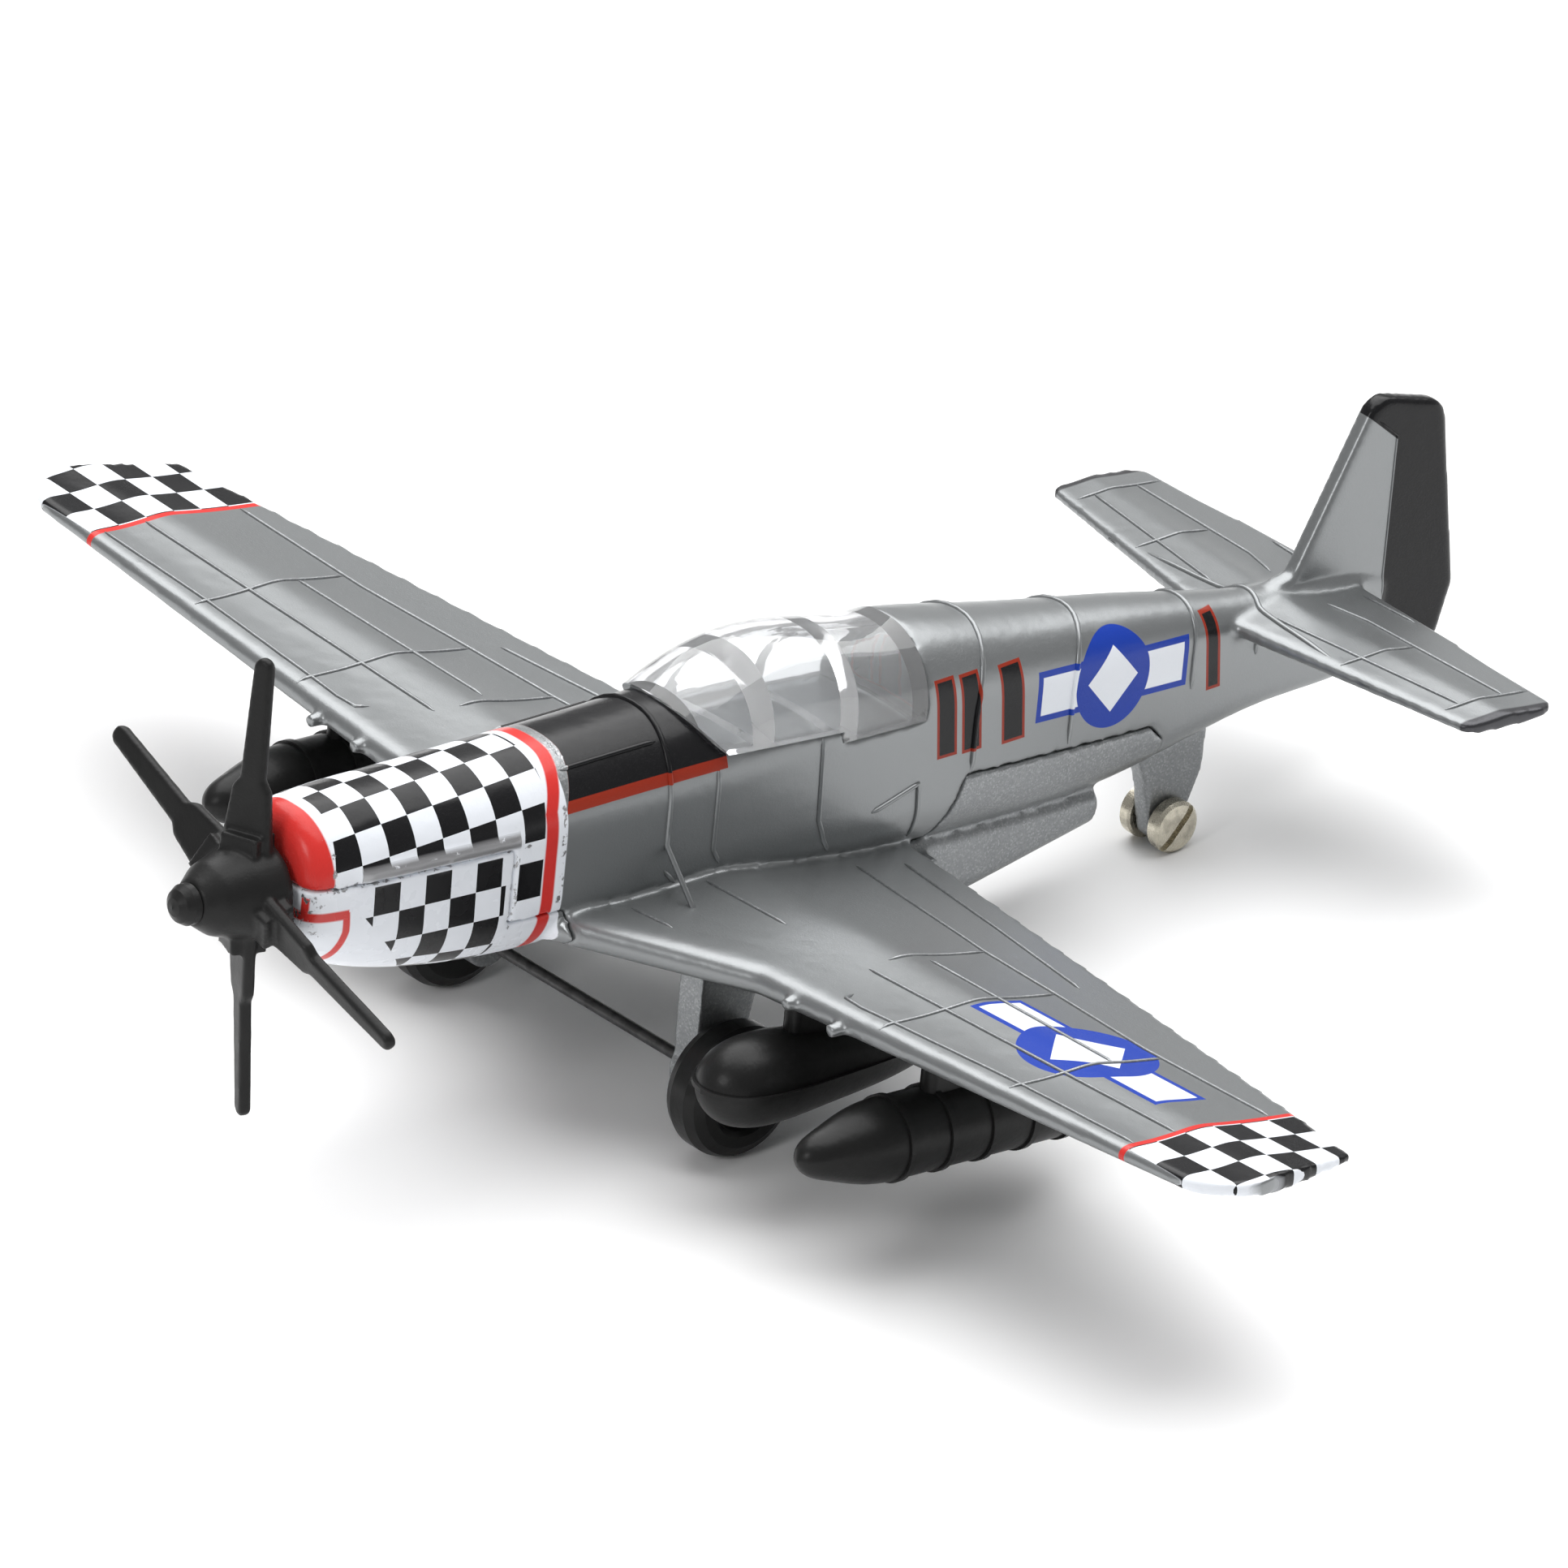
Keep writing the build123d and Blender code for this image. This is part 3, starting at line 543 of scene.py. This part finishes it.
SOFTENED = {
    # node: (piece, material, voxel in mm, rounds of smoothing)
    "upper_casting": ("fuselage_shell", "upper", 0.22, 5),
    "chin_cowl": ("chin_shell", "chin", 0.18, 4),
    "belly_casting": ("belly_shell", "silver", 0.20, 4),
    "gear_leg_left": ("leg_left", "silver", 0.14, 4),
    "gear_leg_right": ("leg_right", "silver", 0.14, 4),
    "propeller": ("propeller_blades", "propeller", 0.12, 9),
}
KEPT = {
    "canopy": "clear",
    "propeller_pin": "propeller",
    "main_axle": "wire",
    "main_wheel_left": "wheel",
    "main_wheel_right": "wheel",
    "tail_wheel_left": "nickel",
    "tail_wheel_right": "nickel",
    "tail_pin": "wire",
    "drop_tank_upper_left": "store",
    "drop_tank_upper_right": "store",
    "drop_tank_lower_left": "store",
    "drop_tank_lower_right": "store",
    "ribbed_tank_left": "store",
    "ribbed_tank_right": "store",
    "belly_screws": "screw",
}

shells = {}
for node, (piece, material, voxel, rounds) in SOFTENED.items():
    shells[node] = softened(node, piece, MATERIALS[material], voxel, rounds)
for node, material in KEPT.items():
    dress(frame["nodes"][node], MATERIALS[material])


# ---- Raised panel lines -------------------------------------------------------------
def surface_of(thing):
    """Search tree over a finished piece."""
    mesh = bmesh.new()
    mesh.from_mesh(thing.data)
    tree = BVHTree.FromBMesh(mesh)
    mesh.free()
    return tree


skins = [surface_of(shells[node]) for node in ("upper_casting", "belly_casting")]


def dropped(start, direction):
    """First point where a line meets the castings, or None."""
    best = None
    for skin in skins:
        place, normal, _, distance = skin.ray_cast(start, direction)
        if place is not None and (best is None or distance < best[1]):
            best = (place, distance)
    return best and best[0]


def sampled(points, step):
    """Points every so many millimetres along a run of straight stretches."""
    out = []
    for (a0, a1), (b0, b1) in zip(points, points[1:]):
        count = max(2, int(math.hypot(b0 - a0, b1 - a1) / step))
        for number in range(count):
            share = number / count
            out.append((a0 + (b0 - a0) * share, a1 + (b1 - a1) * share))
    out.append(points[-1])
    return out


def top_line(points):
    """A line given in plan, laid on the upper surface."""
    return [dropped(level(x, y, 20), -UP) for x, y in sampled(points, 0.5)]


def bottom_line(points):
    """A line given in plan, laid on the lower surface."""
    return [dropped(level(x, y, -9), UP) for x, y in sampled(points, 0.5)]


def side_line(points, side):
    """A line given in side view, laid on one side of the fuselage."""
    return [dropped(level(side * 8, y, z), LEFT * -side) for y, z in sampled(points, 0.35)]


def ring_line(y, lean, low_angle, high_angle, centre=0.5):
    """Part of a ring round the fuselage between two angles, leaning aft at its crest."""
    out = []
    steps = 28
    for number in range(steps + 1):
        angle = math.radians(low_angle + (high_angle - low_angle) * number / steps)
        outward = LEFT * math.sin(angle) + UP * math.cos(angle)
        along = y + lean * max(0.0, math.cos(angle)) ** 3
        out.append(dropped(level(0, along, centre) + outward * 12 * MM, -outward))
    return out


def beads(name, lines, radius, material, body="airframe"):
    """Raised lines: round beads half sunk in the surface."""
    curve = bpy.data.curves.new(name, "CURVE")
    curve.dimensions = "3D"
    curve.bevel_depth = radius * MM
    curve.bevel_resolution = 2
    curve.use_fill_caps = True
    for line in lines:
        line = [p for p in line if p is not None]
        if len(line) < 2:
            continue
        spline = curve.splines.new("POLY")
        spline.points.add(len(line) - 1)
        for point, place in zip(spline.points, line):
            point.co = (*place, 1)
        for end in (0, -1):
            spline.points[end].radius = 0.3
    thing = add_object(name, curve)
    thing.data.materials.append(material)
    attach(thing, body)
    return thing


WING_TOP = [
    [(22.6, 32.0), (22.9, 31.2), (24.5, 31.1), (27.4, 31.3), (38.0, 31.9), (48.0, 32.0)],
    [(20.3, 35.1), (48.0, 35.1)],
    [(20.9, 39.2), (38.0, 38.8)],
    [(5.6, 46.4), (13.2, 45.2), (20.1, 44.1), (28.0, 43.4), (36.5, 42.5), (47.9, 42.3)],
    [(27.2, 30.2), (27.3, 43.4)],
    [(38.0, 31.0), (38.1, 42.4)],
    [(20.0, 36.8), (20.1, 44.1)],
    [(5.3, 35.1), (12.7, 35.1)],
    [(5.8, 29.1), (9.5, 29.2)],
    [(6.2, 49.6), (17.0, 47.6), (27.0, 45.6)],
]
WING_UNDER = [
    [(17.0, 33.0), (52.0, 33.2)],
    [(8.0, 45.9), (20.1, 44.2), (51.0, 41.2)],
    [(34.0, 32.0), (34.0, 45.0)],
    [(44.0, 32.0), (44.0, 43.5)],
]
TAIL_TOP = [
    [(2.6, 84.1), (5.5, 84.9), (17.0, 85.7)],
    [(3.0, 79.8), (17.0, 82.4)],
    [(17.0, 81.2), (17.0, 87.6)],
    [(9.5, 79.4), (9.5, 85.1)],
    [(2.3, 87.2), (6.6, 87.6)],
]


def both_sides(lay, runs):
    """Lines laid on the left and, mirrored, on the right."""
    return [lay([(side * x, y) for x, y in run]) for side in (1, -1) for run in runs]


beads("wing_panel_lines", both_sides(top_line, WING_TOP), 0.13, MATERIALS["silver"])
beads("wing_under_lines", both_sides(bottom_line, WING_UNDER), 0.12, MATERIALS["silver"])
beads("tail_panel_lines", both_sides(top_line, TAIL_TOP), 0.12, MATERIALS["silver"])

RINGS = ((55.7, 1.6, 122), (63.8, 1.6, 128), (74.1, 0.3, 128), (79.5, 0.5, 120), (32.2, 0.6, 132))
rings = [ring_line(y, lean, -reach, reach) for y, lean, reach in RINGS]
beads("fuselage_rings", rings, 0.18, MATERIALS["upper"])

FLANK = [
    [(32.2, -3.2), (33.2, -4.2)],
    [(35.8, 2.5), (35.8, -2.6), (36.4, -3.6)],
    [(43.6, 2.8), (43.8, -2.5), (44.4, -3.9), (45.2, -5.0)],
    [(47.9, -2.9), (51.4, -1.8), (51.7, -5.6)],
    [(24.9, 4.2), (32.0, 4.5)],
]
flank_lines = [side_line(run, side) for side in (-1, 1) for run in FLANK]
beads("fuselage_side_lines", flank_lines, 0.16, MATERIALS["upper"])

fin_lines = [side_line([(HINGE_Y, 0.5), (HINGE_Y, 10.9), (88.6, 12.1)], side) for side in (-1, 1)]
beads("fin_lines", fin_lines, 0.08, MATERIALS["upper"])


# ---- Stage, light and camera --------------------------------------------------------
VIEW_AZIMUTH = 51.0
VIEW_ELEVATION = 28.5
VIEW_DISTANCE = 2.0
VIEW_HEIGHT = 0.09195           # height that the picture spans at the object
SENSOR = 36.0
CLIP = (0.01, 20)
FLOOR_SIZE = 6.0
FLOOR_GAP = 0.00002             # the floor lies this far under the lowest point
WORLD_STRENGTH = 0.34
LIGHTS = (
    # name, place, size, power
    ("top", (-0.16, 0.22, 0.62), 0.95, 10.0),
    ("nose", (0.10, -0.55, 0.35), 0.20, 0.9),
)
LIGHT_TARGET = (0, 0, 0.01)


def make_floor():
    """Pale floor with a barely uneven, matt surface."""
    bpy.ops.mesh.primitive_plane_add(
        size=FLOOR_SIZE, location=(0, 0, cad_box[0][2] - FLOOR_GAP))
    floor = bpy.context.object
    floor.name = "floor"
    paint = Paint("pale_floor", (0.92, 0.92, 0.92), 0.0, 0.7)
    paint.layer(paint.noise(400, 2) * 0.2, (0.88, 0.88, 0.88))
    dress(floor, paint.material)


def add_light(name, place, target, size, power):
    """Soft square light aimed at the object."""
    lamp = bpy.data.lights.new(name, "AREA")
    lamp.size = size
    lamp.energy = power
    thing = add_object(name, lamp)
    thing.location = place
    thing.rotation_euler = (Vector(target) - Vector(place)).to_track_quat("-Z", "Y").to_euler()


def make_lights():
    world = bpy.data.worlds.new("studio")
    bpy.context.scene.world = world
    world.use_nodes = True
    background = world.node_tree.nodes["Background"]
    background.inputs[0].default_value = (1, 1, 1, 1)
    background.inputs[1].default_value = WORLD_STRENGTH
    for name, place, size, power in LIGHTS:
        add_light(name, place, LIGHT_TARGET, size, power)


def make_camera():
    """Long lens looking along the chosen direction."""
    azimuth = math.radians(VIEW_AZIMUTH)
    elevation = math.radians(VIEW_ELEVATION)
    back = Vector((
        math.sin(azimuth) * math.cos(elevation),
        -math.cos(azimuth) * math.cos(elevation),
        math.sin(elevation),
    ))
    aim = level(0, 45.07, -2.35)
    camera = bpy.data.cameras.new("camera")
    camera.sensor_width = SENSOR
    camera.lens = SENSOR * VIEW_DISTANCE / VIEW_HEIGHT
    camera.clip_start, camera.clip_end = CLIP
    thing = add_object("camera", camera)
    thing.location = aim + back * VIEW_DISTANCE
    thing.rotation_euler = back.to_track_quat("Z", "Y").to_euler()
    bpy.context.scene.camera = thing


make_floor()
make_lights()
make_camera()
bpy.context.scene.view_settings.view_transform = "Standard"
